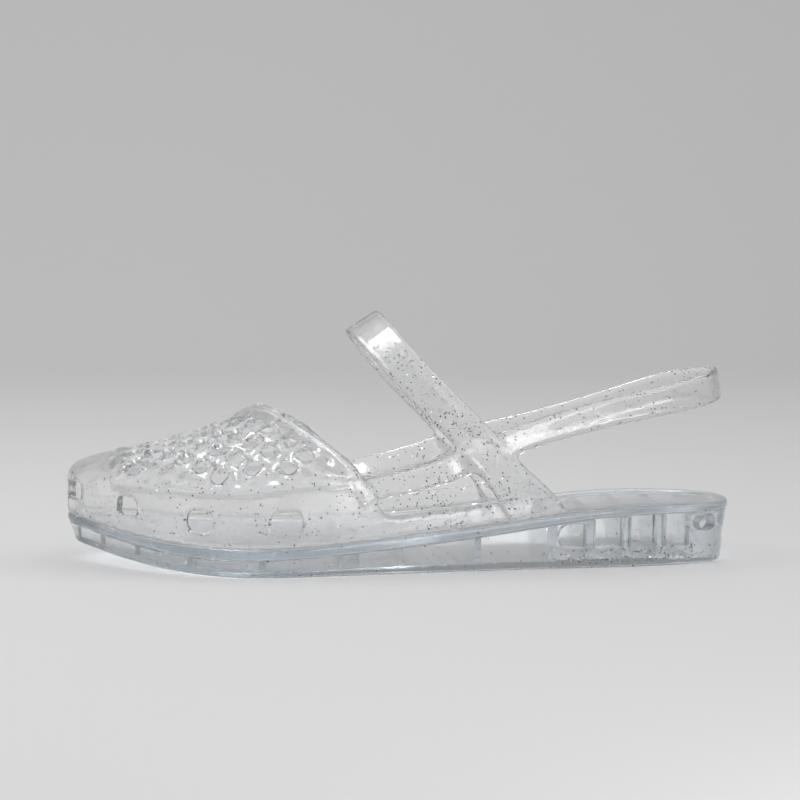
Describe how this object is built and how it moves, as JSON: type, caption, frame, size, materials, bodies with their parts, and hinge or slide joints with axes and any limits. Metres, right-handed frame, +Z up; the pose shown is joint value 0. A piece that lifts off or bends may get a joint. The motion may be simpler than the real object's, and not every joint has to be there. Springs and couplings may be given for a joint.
{
  "type": "jelly sandal",
  "caption": "Closed-toe clear plastic jelly sandal for a left foot, with woven vamp, crossed instep and heel straps and a low hollow sole.",
  "frame": {"origin": "middle of the footprint's box, on the floor", "axes": "+X towards the heel, -X towards the toe, +Y towards the inner side of the foot, +Z up"},
  "size_m": [0.2451, 0.0888, 0.0926],
  "materials": {
    "outsole": "clear moulded plastic, smooth and glossy",
    "footbed": "clear blue-tinted moulded plastic with fine glitter",
    "upper": "clear moulded plastic with fine glitter, glossy"
  },
  "bodies": {
    "root": {"outsole": "outsole", "footbed": "footbed", "upper": "upper"}
  },
  "joints": []
}
